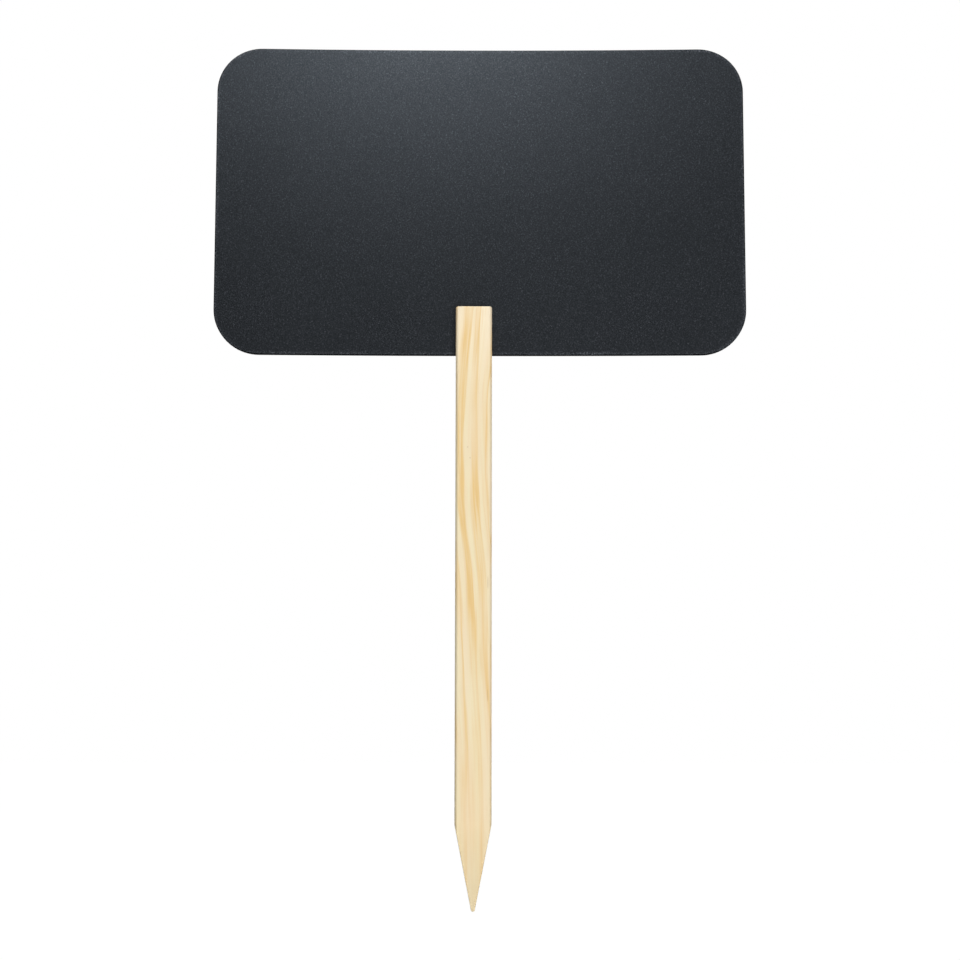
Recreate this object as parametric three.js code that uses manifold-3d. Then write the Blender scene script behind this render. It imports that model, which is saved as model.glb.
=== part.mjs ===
// A small chalkboard on a pointed pine stake, to be pushed into a pot or a flower bed.
// The stake's head is sawn with an open slot. The board stands in the slot as a push fit,
// so it lifts out upwards.
//
// Millimetres, +Z up. X runs to the right along the board, and Y from the front to the back.
// The origin is on the stake's centre line, at the surface of the ground.

import * as THREE from "three";
import { mergeVertices } from "three/addons/utils/BufferGeometryUtils.js";
import Module from "manifold-3d";

// Board: a thin lacquered panel with round corners, black on both faces and on its edge.
const boardWidth = 270;
const boardHeight = 160;
const boardThickness = 3;
const boardCornerRadius = 23;
const boardEdgeEase = 0.5; // rounding of the front and back arrises
const boardShift = 3; // from the stake's centre line to the middle of the board

// Stake: a planed pine lath.
const stakeLength = 301;
const stakeWidth = 18.3;
const stakeThickness = 12;
const stakeEdgeEase = 1.5; // planed rounding of the four long arrises
const stakeTopEase = 1; // sanded rounding around the top end
const pointLength = 42; // height of the two saw cuts that make the point
const tipRadius = 1; // the tip is blunt
const groundDepth = 100; // the length that goes into the ground

// Slot: sawn down from the top end, through both narrow sides, midway between front and back.
const slotDepth = 24.6;
const slotClearance = 0.1; // between each face of the board and the cheek beside it
const seatClearance = 0.1; // between the board's lower edge and the floor of the slot

// Facets of the round stretches, and how far a cutting tool reaches past what it cuts.
const cornerSegments = 10;
const easeSegments = 4;
const cutOverrun = 5;
const weldDistance = 1e-4;

// Heights that follow from the sizes above.
const tipHeight = -groundDepth;
const topHeight = tipHeight + stakeLength;
const slotFloor = topHeight - slotDepth;
const boardMiddle = slotFloor + seatClearance + boardHeight / 2;
const slotWidth = boardThickness + 2 * slotClearance;

const wasm = await Module();
wasm.setup();

// A closed geometry as a solid that can be joined and cut.
function solidFrom(geometry) {
  const bare = geometry.clone();
  bare.deleteAttribute("normal");
  bare.deleteAttribute("uv");
  const welded = mergeVertices(bare, weldDistance);
  return new wasm.Manifold(
    new wasm.Mesh({
      numProp: 3,
      vertProperties: welded.attributes.position.array,
      triVerts: new Uint32Array(welded.index.array),
    }),
  );
}

// A solid as a geometry with one flat normal for each facet.
function geometryFrom(solid) {
  const { vertProperties, triVerts } = solid.getMesh();
  const shared = new THREE.BufferGeometry();
  shared.setAttribute("position", new THREE.BufferAttribute(vertProperties, 3));
  shared.setIndex(new THREE.BufferAttribute(triVerts, 1));
  const flat = shared.toNonIndexed();
  flat.computeVertexNormals();
  return flat;
}

// A rectangle about the origin, with round corners.
function roundedRectangle(width, height, radius) {
  const x = width / 2 - radius;
  const y = height / 2 - radius;
  const quarter = Math.PI / 2;
  const shape = new THREE.Shape();
  shape.absarc(x, y, radius, 0, quarter);
  shape.absarc(-x, y, radius, quarter, 2 * quarter);
  shape.absarc(-x, -y, radius, 2 * quarter, 3 * quarter);
  shape.absarc(x, -y, radius, 3 * quarter, 4 * quarter);
  return shape;
}

// A block with an upright front outline of width and height, carried along Y through a depth.
function extrudeThroughY(shape, depth, curveSegments) {
  const block = new THREE.ExtrudeGeometry(shape, {
    depth,
    curveSegments,
    bevelEnabled: false,
  });
  block.translate(0, 0, -depth / 2);
  block.rotateX(Math.PI / 2);
  return block;
}

// The stake's front outline: round-cornered top, straight sides, and a V tangent to the blunt tip.
function stakeFrontOutline() {
  const half = stakeWidth / 2;
  const tipCentre = tipHeight + tipRadius;
  const shoulder = tipHeight + pointLength;
  const rise = shoulder - tipCentre;
  const halfAngle =
    Math.atan2(half, rise) - Math.asin(tipRadius / Math.hypot(half, rise));
  const outline = new THREE.Shape();
  outline.absarc(0, tipCentre, tipRadius, Math.PI + halfAngle, 2 * Math.PI - halfAngle);
  outline.lineTo(half, shoulder);
  outline.absarc(half - stakeTopEase, topHeight - stakeTopEase, stakeTopEase, 0, Math.PI / 2);
  outline.absarc(stakeTopEase - half, topHeight - stakeTopEase, stakeTopEase, Math.PI / 2, Math.PI);
  outline.lineTo(-half, shoulder);
  outline.closePath();
  return outline;
}

// The stake's side outline, which rounds the top end over towards the front and the back.
function stakeSideOutline() {
  const half = stakeThickness / 2;
  const bottom = tipHeight - cutOverrun;
  const outline = new THREE.Shape();
  outline.moveTo(-half, bottom);
  outline.lineTo(half, bottom);
  outline.absarc(half - stakeTopEase, topHeight - stakeTopEase, stakeTopEase, 0, Math.PI / 2);
  outline.absarc(stakeTopEase - half, topHeight - stakeTopEase, stakeTopEase, Math.PI / 2, Math.PI);
  outline.closePath();
  return outline;
}

// The planed lath: a round-cornered section run a little past both ends.
function planedLath() {
  const run = stakeLength + 2 * cutOverrun;
  const lath = new THREE.ExtrudeGeometry(
    roundedRectangle(stakeWidth, stakeThickness, stakeEdgeEase),
    { depth: run, curveSegments: easeSegments, bevelEnabled: false },
  );
  lath.translate(0, 0, tipHeight - cutOverrun);
  return lath;
}

// The saw's path through the head: it runs out of the top and of both narrow sides.
function slotCut() {
  const height = slotDepth + cutOverrun;
  const cut = new THREE.BoxGeometry(stakeWidth + 2 * cutOverrun, slotWidth, height);
  cut.translate(0, 0, slotFloor + height / 2);
  return cut;
}

function makeStake(material) {
  const front = extrudeThroughY(stakeFrontOutline(), stakeThickness + 2 * cutOverrun, easeSegments);
  const side = extrudeThroughY(stakeSideOutline(), stakeWidth + 2 * cutOverrun, easeSegments);
  side.rotateZ(Math.PI / 2);
  const body = solidFrom(planedLath())
    .intersect(solidFrom(front))
    .intersect(solidFrom(side))
    .subtract(solidFrom(slotCut()));
  const stake = new THREE.Mesh(geometryFrom(body), material);
  stake.name = "stake";
  return stake;
}

function makeBoard(material) {
  const outline = roundedRectangle(boardWidth, boardHeight, boardCornerRadius);
  const panel = new THREE.ExtrudeGeometry(outline, {
    depth: boardThickness - 2 * boardEdgeEase,
    curveSegments: cornerSegments,
    bevelThickness: boardEdgeEase,
    bevelSize: boardEdgeEase,
    bevelOffset: -boardEdgeEase,
    bevelSegments: easeSegments,
  });
  panel.center();
  const board = new THREE.Mesh(panel, material);
  board.name = "board";
  board.rotation.x = Math.PI / 2;
  board.position.set(boardShift, 0, boardMiddle);
  return board;
}

const pine = new THREE.MeshStandardMaterial({ color: 0xecd8ac, roughness: 0.6, metalness: 0 });
const chalkboardBlack = new THREE.MeshStandardMaterial({ color: 0x303338, roughness: 0.55, metalness: 0 });

const chalkboardStake = new THREE.Group();
chalkboardStake.add(makeStake(pine));
chalkboardStake.add(makeBoard(chalkboardBlack));

export default chalkboardStake;
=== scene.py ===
import math

import bmesh
import bpy
from mathutils import Matrix, Vector


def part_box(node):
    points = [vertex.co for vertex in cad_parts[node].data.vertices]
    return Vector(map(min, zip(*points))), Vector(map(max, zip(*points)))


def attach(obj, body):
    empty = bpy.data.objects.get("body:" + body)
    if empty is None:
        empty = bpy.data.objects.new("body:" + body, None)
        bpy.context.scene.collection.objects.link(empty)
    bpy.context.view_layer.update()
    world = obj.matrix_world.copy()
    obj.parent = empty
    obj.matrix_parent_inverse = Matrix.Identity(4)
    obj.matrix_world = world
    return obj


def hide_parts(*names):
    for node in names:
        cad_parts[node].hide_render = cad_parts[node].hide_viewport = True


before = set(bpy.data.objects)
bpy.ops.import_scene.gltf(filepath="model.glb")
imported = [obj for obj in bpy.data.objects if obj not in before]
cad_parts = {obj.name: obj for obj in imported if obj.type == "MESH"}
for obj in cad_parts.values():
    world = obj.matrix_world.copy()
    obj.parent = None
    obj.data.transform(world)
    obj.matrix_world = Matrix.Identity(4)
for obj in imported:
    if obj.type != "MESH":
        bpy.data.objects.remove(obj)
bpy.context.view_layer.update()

scene = bpy.context.scene
scene.view_settings.view_transform = "Standard"

boardLow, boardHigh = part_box("board")
boardSize = boardHigh - boardLow
boardMid = (boardLow + boardHigh) / 2
stakeLow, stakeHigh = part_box("stake")
stakeSize = stakeHigh - stakeLow
stakeMid = (stakeLow + stakeHigh) / 2

noiseBand = (0.3, 0.7)      # where most values of a noise lie
weldDistance = 1e-6         # metres, points that are closer than this are one
cutTolerance = 1e-7         # metres, points that are closer to a saw plane than this lie on it
flatFaceWeight = 100        # the most, so that flat faces stay flat beside their rounded edges
print("frame loaded: board", [round(v, 4) for v in boardSize])


# node helpers, shared by the panel's tree, the finishes and the studio

def plug(tree, value, socket):
    if isinstance(value, bpy.types.NodeSocket):
        tree.links.new(value, socket)
    else:
        socket.default_value = value


def addNode(tree, kind, inputs=None, **settings):
    made = tree.nodes.new(kind)
    for key, value in settings.items():
        setattr(made, key, value)
    for key, value in (inputs or {}).items():
        plug(tree, value, made.inputs[key])
    return made


def calc(tree, operation, *values):
    return addNode(tree, "ShaderNodeMath", dict(enumerate(values)), operation=operation).outputs[0]


def squared(tree, value):
    return calc(tree, "MULTIPLY", value, value)


def vectorCalc(tree, operation, *values):
    made = addNode(tree, "ShaderNodeVectorMath", dict(enumerate(values)), operation=operation)
    return made.outputs["Value" if operation in ("DISTANCE", "LENGTH") else "Vector"]


def scaled(tree, colour, share):
    made = addNode(tree, "ShaderNodeVectorMath", {0: colour, "Scale": share}, operation="SCALE")
    return made.outputs["Vector"]


def splitPlace(tree, place):
    return addNode(tree, "ShaderNodeSeparateXYZ", {0: place}).outputs


def joinPlace(tree, x=0.0, y=0.0, z=0.0):
    return addNode(tree, "ShaderNodeCombineXYZ", {"X": x, "Y": y, "Z": z}).outputs[0]


def remap(tree, value, low, high, newLow, newHigh, kind="LINEAR"):
    made = addNode(tree, "ShaderNodeMapRange", {
        "Value": value, "From Min": low, "From Max": high, "To Min": newLow, "To Max": newHigh,
    }, interpolation_type=kind)
    return made.outputs["Result"]


def blend(tree, share, first, second):
    made = addNode(tree, "ShaderNodeMix", {"Factor": share, "A": first, "B": second}, data_type="RGBA")
    return made.outputs[2]


def grainNoise(tree, place, perMetre, detail=2.0, crumble=0.5, start=0.0, turn=(0.0, 0.0, 0.0)):
    laid = addNode(tree, "ShaderNodeMapping", {
        "Vector": place, "Location": (start, 0.0, 0.0), "Rotation": turn, "Scale": perMetre,
    })
    made = addNode(tree, "ShaderNodeTexNoise", {
        "Vector": laid.outputs[0], "Scale": 1.0, "Detail": detail, "Roughness": crumble,
    })
    return made.outputs["Fac"]


def newFinish(name):
    finish = bpy.data.materials.new(name)
    finish.use_nodes = True
    tree = finish.node_tree
    place = addNode(tree, "ShaderNodeTexCoord").outputs["Object"]
    return finish, tree, tree.nodes["Principled BSDF"], place


def addBump(tree, shader, height):      # height in metres
    bump = addNode(tree, "ShaderNodeBump", {"Strength": 1.0, "Distance": 1.0, "Height": height})
    tree.links.new(bump.outputs[0], shader.inputs["Normal"])


# mesh helpers

def meshObject(name, mesh):
    made = bpy.data.objects.new(name, mesh)
    scene.collection.objects.link(made)
    return made


def toMesh(work, name):
    bmesh.ops.recalc_face_normals(work, faces=work.faces[:])
    for face in work.faces:
        face.smooth = True
    mesh = bpy.data.meshes.new(name)
    work.to_mesh(mesh)
    work.free()
    return meshObject(name, mesh)


def easeEdges(piece, width, steps, angle):      # rounds the edges that turn by more than the angle
    ease = piece.modifiers.new("ease", "BEVEL")
    ease.width = width
    ease.segments = steps
    ease.limit_method = "ANGLE"
    ease.angle_limit = math.radians(angle)
    shade = piece.modifiers.new("shade", "WEIGHTED_NORMAL")
    shade.weight = flatFaceWeight


def bakeModifiers(piece):
    depsgraph = bpy.context.evaluated_depsgraph_get()
    plain = bpy.data.meshes.new_from_object(piece.evaluated_get(depsgraph))
    piece.modifiers.clear()
    old = piece.data
    piece.data = plain
    bpy.data.meshes.remove(old)
    plain.name = piece.name


# camera: about level with the ground line, looking a little upwards

camSetup = {
    "lens": 75.8,           # mm
    "sensor": 36.0,         # mm, square
    "distance": 1.018,      # metres from the aim point
    "aim": (0.0032, 0.0, 0.11295),
    "pitch": 7.15,          # degrees upwards
    "roll": 0.085,          # degrees
}


def makeCamera(setup):
    camData = bpy.data.cameras.new("photoCamera")
    camData.lens = setup["lens"]
    camData.sensor_fit = "HORIZONTAL"
    camData.sensor_width = setup["sensor"]
    camera = bpy.data.objects.new("photoCamera", camData)
    scene.collection.objects.link(camera)
    pitch = math.radians(setup["pitch"])
    forward = Vector((0.0, math.cos(pitch), math.sin(pitch)))
    place = Vector(setup["aim"]) - forward * setup["distance"]
    tilt = Matrix.Rotation(math.pi / 2 + pitch, 4, "X")
    roll = Matrix.Rotation(math.radians(setup["roll"]), 4, "Z")
    camera.matrix_world = Matrix.Translation(place) @ tilt @ roll
    scene.camera = camera


makeCamera(camSetup)
print("camera set")


# chalk lacquer: matt black with a fine tooth, a painted highlight just inside the rim, and painted shade
# on the rim itself

lacquerLook = {
    "colour": (0.0076, 0.0081, 0.0094),
    "sheenTint": (0.76, 0.875, 1.0, 1.0),   # its gloss is faintly blue
    "sheenLevel": 0.53,
    "roughness": 0.375,
    "roughSpread": 0.05,            # how far the speckle sways the roughness
    # three noises: cells per metre, octaves, crumble
    "mottle": (26.0, 3.0, 0.5),     # soft cloudy patches
    "speckle": (1500.0, 4.0, 0.65),     # grains that the eye sees
    "tooth": (2400.0, 2.0, 0.5),    # grains that the chalk feels
    "grainTurn": (0.6, 0.4, 0.9),   # slants the noise, so that the flat face cuts it evenly
    "mottleSwing": 0.1,             # how much lighter and darker the patches are
    "speckleSwing": 170.0,          # the same for the few grains that stand out
    "speckleHeight": 0.00003,
    "toothHeight": 0.00005,
    "rimHighlightWidth": 0.0020,           # painted highlight: the face's colour is lightened within this of the rim
    "rimHighlight": 2.2,                   # times its own colour, added near the rim as painted highlight
    "rimHighlightSpread": (0.4, 1.6),      # least and most of that, from patch to patch
    "rimPaintedShade": 0.6,                # the rim is duller, and its colour darker as painted shade
    "rimSheen": 0.04,
    "rimRoughness": 0.8,
}


def rimDistance(tree, place, radius):       # how far in from the panel's outline
    half = boardSize / 2
    core = (half.x - radius, half.y, half.z - radius)
    mirrored = vectorCalc(tree, "ABSOLUTE", vectorCalc(tree, "SUBTRACT", place, boardMid))
    past = splitPlace(tree, vectorCalc(tree, "SUBTRACT", mirrored, core))
    outX = calc(tree, "MAXIMUM", past["X"], 0.0)
    outZ = calc(tree, "MAXIMUM", past["Z"], 0.0)
    corner = calc(tree, "SQRT", calc(tree, "ADD", squared(tree, outX), squared(tree, outZ)))
    inside = calc(tree, "MINIMUM", calc(tree, "MAXIMUM", past["X"], past["Z"]), 0.0)
    return calc(tree, "SUBTRACT", radius, calc(tree, "ADD", corner, inside))


# painted highlight: lightens the face's colour along the rim
def paintedRimHighlight(tree, place, mottle, look, cornerRadius):
    away = rimDistance(tree, place, cornerRadius)
    highlightNearRim = remap(tree, away, 0.0, look["rimHighlightWidth"], look["rimHighlight"], 0.0)
    patchy = remap(tree, mottle, *noiseBand, *look["rimHighlightSpread"])
    return calc(tree, "MULTIPLY_ADD", highlightNearRim, patchy, 1.0)


def lacquerFinish(name, look, cornerRadius, rim=False):
    finish, tree, shader, place = newFinish(name)

    def noise(key):
        cells, octaves, crumble = look[key]
        return grainNoise(tree, place, (cells,) * 3, octaves, crumble, turn=look["grainTurn"])

    mottle = noise("mottle")
    speckle = noise("speckle")
    # painted shade: the rim's colour is darkened
    shade = look["rimPaintedShade"] if rim else 1.0
    swing = look["mottleSwing"]
    cloudy = remap(tree, mottle, *noiseBand, shade * (1.0 - swing), shade * (1.0 + swing))
    sway = calc(tree, "SUBTRACT", speckle, 0.5)
    sparse = calc(tree, "MULTIPLY", sway, calc(tree, "ABSOLUTE", sway))     # most of the face is even
    specked = calc(tree, "MULTIPLY_ADD", sparse, look["speckleSwing"], 1.0)
    tone = calc(tree, "MULTIPLY", cloudy, calc(tree, "MAXIMUM", specked, 0.0))
    if not rim:
        tone = calc(tree, "MULTIPLY", tone, paintedRimHighlight(tree, place, mottle, look, cornerRadius))
    tree.links.new(scaled(tree, look["colour"], tone), shader.inputs["Base Color"])

    dull = look["rimRoughness"] if rim else look["roughness"]
    spread = look["roughSpread"]
    rough = remap(tree, speckle, *noiseBand, dull + spread, dull - spread)
    tree.links.new(rough, shader.inputs["Roughness"])
    shader.inputs["Specular IOR Level"].default_value = look["rimSheen"] if rim else look["sheenLevel"]
    shader.inputs["Specular Tint"].default_value = look["sheenTint"]
    fine = calc(tree, "MULTIPLY", noise("tooth"), look["toothHeight"])
    addBump(tree, shader, calc(tree, "MULTIPLY_ADD", speckle, look["speckleHeight"], fine))
    return finish


# chalkboard panel: a round-cornered sheet whose two ends have warped a little towards the front

panelLook = {
    "cornerRadius": 0.023,
    "edgeEase": 0.0005,     # rounding of the front and back arrises
    "easeSteps": 6,
    "easeAngle": 50.0,      # degrees, the face meets the rim at 90
    "bow": 0.0034,          # how far the two ends stand forward of the middle
    "cornerCells": 9,       # mesh cells in a corner, and in half of each straight side
    "wideCells": 20,
    "highCells": 10,
    "rimTurn": 0.95,        # a face that looks less squarely to the front or back than this is rim
}


def panelTree():
    tree = bpy.data.node_groups.new("roundCorneredPanel", "GeometryNodeTree")
    sockets = tree.interface
    sockets.new_socket("Geometry", in_out="INPUT", socket_type="NodeSocketGeometry")
    for label in ("Width", "Height", "Thickness", "Corner Radius", "Bow"):
        sockets.new_socket(label, in_out="INPUT", socket_type="NodeSocketFloat")
    for label in ("Corner Cells", "Wide Cells", "High Cells"):
        sockets.new_socket(label, in_out="INPUT", socket_type="NodeSocketInt")
    sockets.new_socket("Middle", in_out="INPUT", socket_type="NodeSocketVector")
    sockets.new_socket("Finish", in_out="INPUT", socket_type="NodeSocketMaterial")
    sockets.new_socket("Geometry", in_out="OUTPUT", socket_type="NodeSocketGeometry")
    given = addNode(tree, "NodeGroupInput").outputs
    radius = given["Corner Radius"]
    corner = given["Corner Cells"]

    wide = calc(tree, "ADD", given["Wide Cells"], corner)
    high = calc(tree, "ADD", given["High Cells"], corner)
    grid = addNode(tree, "GeometryNodeMeshGrid", {
        "Size X": 2.0, "Size Y": 2.0,
        "Vertices X": calc(tree, "MULTIPLY_ADD", wide, 2.0, 1.0),
        "Vertices Y": calc(tree, "MULTIPLY_ADD", high, 2.0, 1.0),
    })
    gridPlace = addNode(tree, "GeometryNodeInputPosition").outputs[0]
    spot = splitPlace(tree, gridPlace)      # -1 to 1 both ways

    def straightAndCorner(along, flatCells, allCells):      # how far along each a point lies, 0 to 1
        cells = calc(tree, "MULTIPLY", calc(tree, "ABSOLUTE", along), allCells)
        flat = calc(tree, "MINIMUM", calc(tree, "DIVIDE", cells, flatCells), 1.0)
        past = calc(tree, "SUBTRACT", cells, flatCells)
        turn = calc(tree, "MAXIMUM", calc(tree, "DIVIDE", past, corner), 0.0)
        return flat, turn

    def placeAlong(along, whole, flat, turn, otherTurn):
        # the corner's square of cells is squeezed into a quarter disc
        squeeze = calc(tree, "SQRT", calc(tree, "MULTIPLY_ADD", squared(tree, otherTurn), -0.5, 1.0))
        bend = calc(tree, "MULTIPLY", radius, calc(tree, "MULTIPLY", turn, squeeze))
        straight = calc(tree, "SUBTRACT", calc(tree, "MULTIPLY", whole, 0.5), radius)
        out = calc(tree, "MULTIPLY_ADD", flat, straight, bend)
        return calc(tree, "MULTIPLY", out, calc(tree, "SIGN", along))

    flatX, turnX = straightAndCorner(spot["X"], given["Wide Cells"], wide)
    flatZ, turnZ = straightAndCorner(spot["Y"], given["High Cells"], high)
    across = placeAlong(spot["X"], given["Width"], flatX, turnX, turnZ)
    up = placeAlong(spot["Y"], given["Height"], flatZ, turnZ, turnX)

    toEnd = calc(tree, "DIVIDE", across, calc(tree, "MULTIPLY", given["Width"], 0.5))
    warp = calc(tree, "MULTIPLY", squared(tree, toEnd), given["Bow"])
    frontY = calc(tree, "SUBTRACT", calc(tree, "MULTIPLY", given["Thickness"], -0.5), warp)
    placed = vectorCalc(tree, "ADD", joinPlace(tree, across, frontY, up), given["Middle"])
    front = addNode(tree, "GeometryNodeSetPosition", {
        "Geometry": grid.outputs["Mesh"], "Position": placed,
    }).outputs[0]

    depth = joinPlace(tree, y=given["Thickness"])
    backAndRim = addNode(tree, "GeometryNodeExtrudeMesh", {
        "Mesh": front, "Offset": depth, "Offset Scale": 1.0, "Individual": False,
    }, mode="FACES").outputs["Mesh"]
    outwards = addNode(tree, "GeometryNodeFlipFaces", {"Mesh": backAndRim}).outputs[0]
    both = addNode(tree, "GeometryNodeJoinGeometry")
    tree.links.new(front, both.inputs[0])
    tree.links.new(outwards, both.inputs[0])
    closed = addNode(tree, "GeometryNodeMergeByDistance", {
        "Geometry": both.outputs[0], "Distance": weldDistance,
    })
    smooth = addNode(tree, "GeometryNodeSetShadeSmooth", {"Geometry": closed.outputs[0]})
    whole = addNode(tree, "GeometryNodeRealizeInstances", {"Geometry": smooth.outputs[0]})
    dressed = addNode(tree, "GeometryNodeSetMaterial", {
        "Geometry": whole.outputs[0], "Material": given["Finish"],
    })
    addNode(tree, "NodeGroupOutput", {0: dressed.outputs[0]})
    return tree


def setTreeInputs(modifier, values):
    for item in modifier.node_group.interface.items_tree:
        if item.in_out == "INPUT" and item.name in values:
            modifier[item.identifier] = values[item.name]


def makePanel(look, faceFinish, rimFinish):
    panel = meshObject("chalkboardPanel", bpy.data.meshes.new("chalkboardPanel"))
    shape = panel.modifiers.new("panel", "NODES")
    shape.node_group = panelTree()
    setTreeInputs(shape, {
        "Width": boardSize.x, "Height": boardSize.z, "Thickness": boardSize.y,
        "Corner Radius": look["cornerRadius"], "Bow": look["bow"],
        "Corner Cells": look["cornerCells"],
        "Wide Cells": look["wideCells"], "High Cells": look["highCells"],
        "Middle": boardMid, "Finish": faceFinish,
    })
    easeEdges(panel, look["edgeEase"], look["easeSteps"], look["easeAngle"])
    bakeModifiers(panel)
    panel.data.materials.clear()    # drops the grid's own empty slot
    panel.data.materials.append(faceFinish)
    panel.data.materials.append(rimFinish)
    for polygon in panel.data.polygons:
        polygon.material_index = int(abs(polygon.normal.y) < look["rimTurn"])
    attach(panel, "board")
    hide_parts("board")
    return panel


panel = makePanel(
    panelLook,
    lacquerFinish("chalkLacquer", lacquerLook, panelLook["cornerRadius"]),
    lacquerFinish("lacquerRim", lacquerLook, panelLook["cornerRadius"], rim=True),
)
print("panel made:", len(panel.data.polygons), "faces")


# pine: one log for the whole stake, so the rings run through from face to face

pineLook = {
    "earlywood": (0.840, 0.725, 0.480),
    "latewood": (0.790, 0.545, 0.230),
    "rosy": (0.850, 0.680, 0.470),      # some streaks are a little pinker
    "bleached": (0.885, 0.770, 0.560),  # earlywood that the sun has paled, towards the head
    "bleachHeights": (0.150, 0.195),    # where the paling starts, and where it is full
    "earlyRoughness": 0.60,
    "lateRoughness": 0.48,
    # rings
    "pith": (-0.045, 0.022, 0.0),       # the heart of the tree lay beside and behind the lath
    "ringWidth": 0.0053,
    "ringLine": (                       # where one ring meets the front face: height, then how far right
        (-0.100, 0.0054), (-0.056, 0.0049), (-0.026, 0.0043), (0.003, 0.0027), (0.033, 0.0012),
        (0.062, -0.0003), (0.077, -0.0018), (0.092, -0.0034), (0.107, -0.0046), (0.130, -0.0051),
        (0.151, -0.0048), (0.166, -0.0037), (0.181, -0.0025), (0.201, -0.0012),
    ),
    "lineReach": 0.008,                 # the line stays this close to the middle of the face
    "ringTone": (                       # how much latewood shows, from one edge of a ring to the other
        (0.0, 0.5), (0.08, 0.14), (0.18, 0.0), (0.42, 0.08),
        (0.66, 0.5), (0.84, 1.0), (0.92, 0.95), (1.0, 0.5),
    ),
    "ringStrength": 0.76,
    "ringHeight": 0.00002,              # latewood stands proud after sanding
    "footFade": (-0.045, 0.015, 0.55),  # from the second height down the rings fade, to this share
    # the tone the faded rings take at the foot; it also darkens the lower part as painted shade
    "footTone": 0.56,
    # grain noises: cells per metre across and along the fibres, strength, where the noise starts
    "feathers": (                       # jags of a ring, their strength in ring widths
        (420.0, 16.0, 0.30, 32.9),
        (1200.0, 30.0, 0.15, 203.8),
    ),
    "featherBand": (0.25, 0.75),        # values of the noise that give a full jag
    "patches": (150.0, 17.0, 0.45, 227.4),      # stretches where the rings are stronger or weaker
    "streaks": (                        # from broad to fine, the last one is felt as well
        (210.0, 12.0, 0.85, 0.6),
        (480.0, 20.0, 0.65, 102.5),
        (1100.0, 27.0, 0.36, 69.3),
        (2600.0, 45.0, 0.15, 0.0),
        (7000.0, 70.0, 0.30, 0.0),
    ),
    "fibreHeight": 0.00003,
    "blush": (190.0, 15.0, 0.7, 7.7),   # the rosy streaks
    "blushBand": (0.4, 0.7),
    # resin canals and two flecks
    "resin": (0.42, 0.25, 0.10, 1.0),
    "resinShare": 0.4,                  # how strongly it shows
    "canals": (700.0, 38.0),            # cells per metre across and along
    "canalSize": 0.15,                  # share of a cell
    "canalShare": 0.10,                 # cells that hold one
    "flecks": ((-0.0030, -0.006, 0.1289), (-0.0018, -0.006, 0.1234)),
    "fleckSize": 0.0003,
    # painted shade along the arrises and edges, and darker towards the tip
    "arrisPaintedShade": 0.84,                 # painted shade on the four long arrises
    "edgePaintedShade": 0.82,                  # painted shade on the narrow sides and the edges of the V too
    "edgeReach": 0.0006,
    # the wood is darker towards the tip, down to this share
    "tipShade": 0.89,
}

cutMarks = {        # pitch along the lath, depth, roughness added, shade
    "planed": (0.0023, 0.0000015, 0.0, 1.0),
    "sawn": (0.0009, 0.00003, 0.15, 0.95),
    "crosscut": (0.0009, 0.0, 0.2, 0.86),
}


def fibreNoise(tree, grain, across, along, start, detail=2.0):
    return grainNoise(tree, grain, (across, across, along), detail, start=start)


def ringLineDrift(tree, height, look):      # how far right the ring lies at a height
    reach = look["lineReach"]
    low = look["ringLine"][0][0]
    high = look["ringLine"][-1][0]
    spots = [((z - low) / (high - low), (x + reach) / (2 * reach)) for z, x in look["ringLine"]]
    curve = addNode(tree, "ShaderNodeFloatCurve", {"Value": remap(tree, height, low, high, 0.0, 1.0)})
    points = curve.mapping.curves[0].points
    points[0].location = spots[0]
    points[1].location = spots[-1]
    for spot in spots[1:-1]:
        points.new(*spot)
    curve.mapping.update()
    return remap(tree, curve.outputs["Value"], 0.0, 1.0, -reach, reach)


def toneRamp(tree, value, stops):
    ramp = addNode(tree, "ShaderNodeValToRGB", {"Fac": value})
    elements = ramp.color_ramp.elements
    for stop in stops[1:-1]:
        elements.new(stop[0])
    for element, (spot, tone) in zip(elements, stops):
        element.position = spot
        element.color = (tone, tone, tone, 1.0)
    return ramp.outputs["Color"]


def alongGrain(tree, spot, look):       # the place in the log, and how far out from the ring it is
    toPith = vectorCalc(tree, "DISTANCE", joinPlace(tree, spot["X"], spot["Y"]), look["pith"])
    frontSpot = Vector((0.0, stakeLow.y, 0.0)) - Vector(look["pith"])
    lean = -look["pith"][0] / frontSpot.length      # how squarely the rings cross the front face
    drift = calc(tree, "MULTIPLY", ringLineDrift(tree, spot["Z"], look), lean)
    fromLine = calc(tree, "SUBTRACT", calc(tree, "SUBTRACT", toPith, frontSpot.length), drift)
    return joinPlace(tree, fromLine, spot["Y"], spot["Z"]), fromLine


def ringTone(tree, grain, fromLine, height, look):
    years = calc(tree, "DIVIDE", fromLine, look["ringWidth"])
    for across, along, reach, start in look["feathers"]:
        jag = fibreNoise(tree, grain, across, along, start, detail=1.0)
        years = calc(tree, "ADD", years, remap(tree, jag, *look["featherBand"], -reach, reach))
    late = toneRamp(tree, calc(tree, "FRACT", years), look["ringTone"])
    across, along, swing, start = look["patches"]
    patch = fibreNoise(tree, grain, across, along, start)
    usual = look["ringStrength"]
    strength = remap(tree, patch, *noiseBand, usual - swing, usual + swing)
    low, high, share = look["footFade"]
    fade = remap(tree, height, low, high, share, 1.0, "SMOOTHSTEP")
    fromFoot = calc(tree, "MULTIPLY_ADD", late, strength, -look["footTone"])
    return calc(tree, "MULTIPLY_ADD", fromFoot, fade, look["footTone"])


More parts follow.
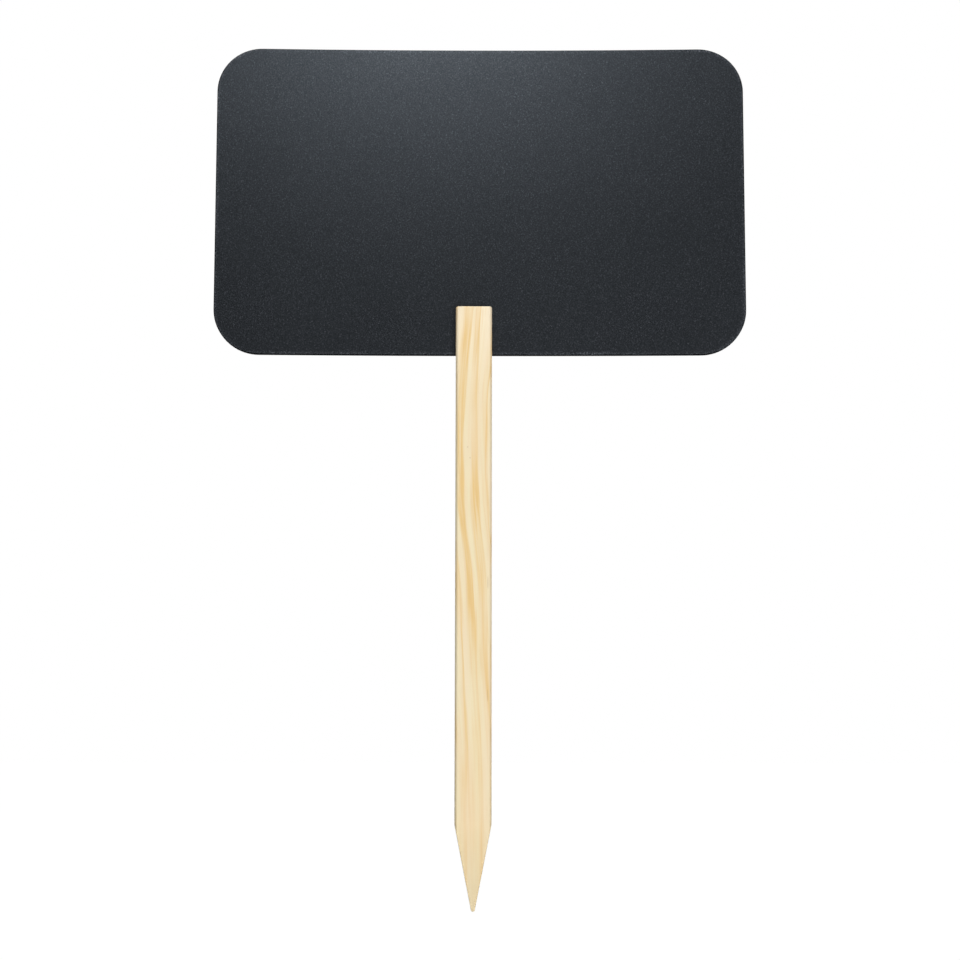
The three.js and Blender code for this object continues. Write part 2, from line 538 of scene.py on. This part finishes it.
def specks(tree, place, look):
    across, along = look["canals"]
    laid = addNode(tree, "ShaderNodeMapping", {"Vector": place, "Scale": (across, across, along)})
    cells = addNode(tree, "ShaderNodeTexVoronoi", {"Vector": laid.outputs[0], "Scale": 1.0})
    pick = addNode(tree, "ShaderNodeSeparateColor", {0: cells.outputs["Color"]}).outputs[0]
    inside = calc(tree, "LESS_THAN", cells.outputs["Distance"], look["canalSize"])
    mask = calc(tree, "MULTIPLY", inside, calc(tree, "LESS_THAN", pick, look["canalShare"]))
    for fleck in look["flecks"]:
        gap = vectorCalc(tree, "DISTANCE", place, fleck)
        mask = calc(tree, "MAXIMUM", mask, calc(tree, "LESS_THAN", gap, look["fleckSize"]))
    return mask


# painted shade on the long arrises, the narrow sides and the edges of the V; the wood is also darker
# towards the tip
def paintedEdgeShadeAndDarkTip(tree, spot, look, shape):
    half = stakeSize / 2
    arris = shape["arris"]
    acrossX = calc(tree, "ABSOLUTE", spot["X"])
    acrossY = calc(tree, "ABSOLUTE", spot["Y"])
    intoX = calc(tree, "SUBTRACT", acrossX, half.x - arris)
    intoY = calc(tree, "SUBTRACT", acrossY, half.y - arris)
    onArris = remap(tree, calc(tree, "MINIMUM", intoX, intoY), 0.0, arris / 2, 1.0, look["arrisPaintedShade"])
    shoulder = stakeLow.z + shape["pointLength"]
    halfWidth = remap(tree, spot["Z"], stakeLow.z, shoulder, shape["tipRadius"], half.x)
    fromEdge = calc(tree, "SUBTRACT", halfWidth, acrossX)
    onEdge = remap(tree, fromEdge, 0.0, look["edgeReach"], look["edgePaintedShade"], 1.0)
    nearTip = remap(tree, spot["Z"], stakeLow.z, shoulder, look["tipShade"], 1.0)
    return calc(tree, "MULTIPLY", calc(tree, "MINIMUM", onArris, onEdge), nearTip)


def woodColour(tree, spot, grain, tone, look, shade):
    def shaded(key):
        return (*[shade * v for v in look[key]], 1.0)

    sunned = remap(tree, spot["Z"], *look["bleachHeights"], 0.0, 1.0, "SMOOTHSTEP")
    early = blend(tree, sunned, shaded("earlywood"), shaded("bleached"))
    across, along, most, start = look["blush"]
    blush = fibreNoise(tree, grain, across, along, start)
    pale = blend(tree, remap(tree, blush, *look["blushBand"], 0.0, most), early, shaded("rosy"))
    return blend(tree, tone, pale, shaded("latewood"))


def pineFinish(name, look, cut, shape):
    finish, tree, shader, place = newFinish(name)
    pitch, depth, addedRough, shade = cutMarks[cut]
    spot = splitPlace(tree, place)
    grain, fromLine = alongGrain(tree, spot, look)
    rings = ringTone(tree, grain, fromLine, spot["Z"], look)
    tone = rings
    for across, along, strength, start in look["streaks"]:
        fibre = fibreNoise(tree, grain, across, along, start)
        tone = calc(tree, "MULTIPLY_ADD", calc(tree, "SUBTRACT", fibre, 0.5), strength, tone)

    bare = woodColour(tree, spot, grain, tone, look, shade)
    edgeShadedWood = scaled(tree, bare, paintedEdgeShadeAndDarkTip(tree, spot, look, shape))
    resinous = calc(tree, "MULTIPLY", specks(tree, place, look), look["resinShare"])
    tree.links.new(blend(tree, resinous, edgeShadedWood, look["resin"]), shader.inputs["Base Color"])

    dull = look["earlyRoughness"] + addedRough
    sleek = look["lateRoughness"] + addedRough
    tree.links.new(remap(tree, tone, 0.0, 1.0, dull, sleek), shader.inputs["Roughness"])
    marks = calc(tree, "SINE", calc(tree, "MULTIPLY", spot["Z"], 2 * math.pi / pitch))
    relief = calc(tree, "MULTIPLY_ADD", rings, look["ringHeight"], calc(tree, "MULTIPLY", marks, depth))
    addBump(tree, shader, calc(tree, "MULTIPLY_ADD", fibre, look["fibreHeight"], relief))
    return finish


# stake: a planed lath, sawn to a V at the foot and slotted at the head

stakeLook = {
    "arris": 0.0015,        # planed rounding of the long edges
    "topEase": 0.001,       # sanded rounding of the top end
    "arrisSteps": 10,
    "pointLength": 0.042,
    "tipRadius": 0.001,
    "tipSteps": 18,
    "slotDepth": 0.0246,
    "slotWidth": 0.0032,
    "sawEase": 0.0003,      # what the sandpaper took off the sawn edges
    "easeSteps": 3,
    "easeAngle": 10.5,      # degrees: the V's shoulders turn by 11, the steps of an arris by 9
    "flankTurn": 0.15,      # a face that looks down more than this is a flank of the V
    "topTurn": 0.9,         # one that looks up more than this is the top end
}


def addBlock(work, middle, size):
    place = Matrix.Translation(middle) @ Matrix.Diagonal((*size, 1.0))
    bmesh.ops.create_cube(work, size=1.0, matrix=place)


def planedLath(look):
    work = bmesh.new()
    addBlock(work, stakeMid, stakeSize)

    def topEnds(edge):      # how many ends of the edge lie on top
        return sum(abs(vert.co.z - stakeHigh.z) < weldDistance for vert in edge.verts)

    def roundOver(edges, radius):
        bmesh.ops.bevel(work, geom=edges, offset=radius, offset_type="OFFSET",
                        segments=look["arrisSteps"], profile=0.5, affect="EDGES")

    roundOver([edge for edge in work.edges if topEnds(edge) == 1], look["arris"])
    roundOver([edge for edge in work.edges if topEnds(edge) == 2], look["topEase"])
    return work


def cutPoint(work, look):
    half = stakeSize.x / 2
    radius = look["tipRadius"]
    rise = look["pointLength"] - radius
    lean = math.atan2(half, rise) - math.asin(radius / math.hypot(half, rise))
    centre = Vector((stakeMid.x, stakeMid.y, stakeLow.z + radius))
    # one saw plane after another round the blunt tip: the first and the last are the V's flanks
    for step in range(look["tipSteps"] + 1):
        swing = math.pi + lean + (math.pi - 2 * lean) * step / look["tipSteps"]
        outward = Vector((math.cos(swing), 0.0, math.sin(swing)))
        sawn = bmesh.ops.bisect_plane(
            work, geom=work.verts[:] + work.edges[:] + work.faces[:], dist=cutTolerance,
            plane_co=centre + outward * radius, plane_no=outward, clear_outer=True,
        )
        rim = [part for part in sawn["geom_cut"] if isinstance(part, bmesh.types.BMEdge)]
        bmesh.ops.edgeloop_fill(work, edges=rim)


def slotCutter(look):
    work = bmesh.new()
    size = (stakeSize.x * 2, look["slotWidth"], look["slotDepth"] * 2)
    addBlock(work, (stakeMid.x, stakeMid.y, stakeHigh.z), size)
    return toMesh(work, "slotCutter")


def cutOf(polygon, look):       # which tool made this face
    slotFloor = stakeHigh.z - look["slotDepth"] - look["sawEase"]
    slotReach = look["slotWidth"] / 2 + look["sawEase"]
    spot = polygon.center
    upward = polygon.normal.z
    inSlot = spot.z > slotFloor and abs(spot.y) < slotReach
    if inSlot or upward < -look["flankTurn"]:
        return "sawn"
    return "crosscut" if upward > look["topTurn"] else "planed"


def makeStake(look, finishes):
    work = planedLath(look)
    cutPoint(work, look)
    stake = toMesh(work, "pineStake")
    cutter = slotCutter(look)
    slot = stake.modifiers.new("slot", "BOOLEAN")
    slot.operation = "DIFFERENCE"
    slot.object = cutter
    slot.solver = "EXACT"
    easeEdges(stake, look["sawEase"], look["easeSteps"], look["easeAngle"])
    bakeModifiers(stake)
    bpy.data.objects.remove(cutter)
    for finish in finishes.values():
        stake.data.materials.append(finish)
    slots = list(finishes)
    for polygon in stake.data.polygons:
        polygon.material_index = slots.index(cutOf(polygon, look))
    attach(stake, "stake")
    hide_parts("stake")
    return stake


stake = makeStake(stakeLook, {
    cut: pineFinish(cut + "Pine", pineLook, cut, stakeLook) for cut in cutMarks
})
print("stake made:", len(stake.data.polygons), "faces")


# studio: a small box high in front that the board mirrors, broad ones at the sides, white all round

studioLook = {
    "ambient": 0.04,
    "floorDrop": 0.5,       # from the tip down to the floor
    "floorSize": 80.0,
    "floorColour": (0.86, 0.86, 0.86, 1.0),
    "nearLift": 0.38,       # white added to the floor for the camera alone, low near the stake so that its shadow shows; the floor there is a little greyer, partly painted shade
    "farLift": 0.97,
    "nearReach": 0.16,      # metres from the spot below the stake
    "farReach": 0.92,
}

softboxes = {               # place, aim, width, height, power
    "keyBox": ((-0.033, -0.42, 0.59), (-0.033, 0.346, -0.053), 0.16, 0.22, 1.03),
    "rightBox": ((0.56, -1.18, -0.30), (0.0, 0.0, 0.24), 0.6, 0.5, 11.8),
    "leftBox": ((-0.72, -1.10, -0.30), (0.0, 0.0, 0.22), 0.6, 0.5, 2.4),
    "topBox": ((0.0, -0.25, 1.25), (0.0, 0.0, 0.2), 0.9, 0.7, 7.0),
    "backKeyBox": ((0.033, 0.42, 0.59), (0.033, -0.346, -0.053), 0.16, 0.22, 1.1),
    "leftBackBox": ((-0.80, 1.15, 0.15), (0.0, 0.0, 0.1), 0.5, 0.8, 7.5),
    "rightBackBox": ((0.80, 1.15, 0.15), (0.0, 0.0, 0.1), 0.5, 0.8, 7.5),
}


def makeWorld(look):
    world = bpy.data.worlds.new("studio")
    world.use_nodes = True
    tree = world.node_tree
    tree.nodes.clear()
    white = (1.0, 1.0, 1.0, 1.0)
    seen = addNode(tree, "ShaderNodeBackground", {"Color": white, "Strength": 1.0})
    unseen = addNode(tree, "ShaderNodeBackground", {"Color": white, "Strength": look["ambient"]})
    ray = addNode(tree, "ShaderNodeLightPath").outputs["Is Camera Ray"]
    either = addNode(tree, "ShaderNodeMixShader", {0: ray, 1: unseen.outputs[0], 2: seen.outputs[0]})
    addNode(tree, "ShaderNodeOutputWorld", {0: either.outputs[0]})
    scene.world = world


def floorFinish(look):
    finish = bpy.data.materials.new("studioFloor")
    finish.use_nodes = True
    tree = finish.node_tree
    tree.nodes.clear()
    matt = addNode(tree, "ShaderNodeBsdfDiffuse", {"Color": look["floorColour"]})
    place = addNode(tree, "ShaderNodeTexCoord").outputs["Object"]
    away = vectorCalc(tree, "LENGTH", vectorCalc(tree, "MULTIPLY", place, (1.0, 1.0, 0.0)))
    reach = (look["nearReach"], look["farReach"])
    white = remap(tree, away, *reach, look["nearLift"], look["farLift"], "SMOOTHSTEP")
    ray = addNode(tree, "ShaderNodeLightPath").outputs["Is Camera Ray"]
    lift = addNode(tree, "ShaderNodeEmission", {"Strength": calc(tree, "MULTIPLY", ray, white)})
    both = addNode(tree, "ShaderNodeAddShader", {0: matt.outputs[0], 1: lift.outputs[0]})
    addNode(tree, "ShaderNodeOutputMaterial", {0: both.outputs[0]})
    return finish


def makeFloor(look):
    work = bmesh.new()
    place = Matrix.Translation((0.0, 0.0, stakeLow.z - look["floorDrop"]))
    bmesh.ops.create_grid(work, x_segments=1, y_segments=1, size=look["floorSize"] / 2, matrix=place)
    floor = toMesh(work, "studioFloor")
    floor.data.materials.append(floorFinish(look))


def makeSoftbox(name, place, aim, width, height, power):
    lamp = bpy.data.lights.new(name, "AREA")
    lamp.shape = "RECTANGLE"
    lamp.size = width
    lamp.size_y = height
    lamp.energy = power
    holder = bpy.data.objects.new(name, lamp)
    scene.collection.objects.link(holder)
    holder.location = place
    holder.rotation_euler = (Vector(aim) - Vector(place)).to_track_quat("-Z", "Y").to_euler()
    holder.visible_camera = False


makeWorld(studioLook)
makeFloor(studioLook)
for name, setting in softboxes.items():
    makeSoftbox(name, *setting)
print("studio set")
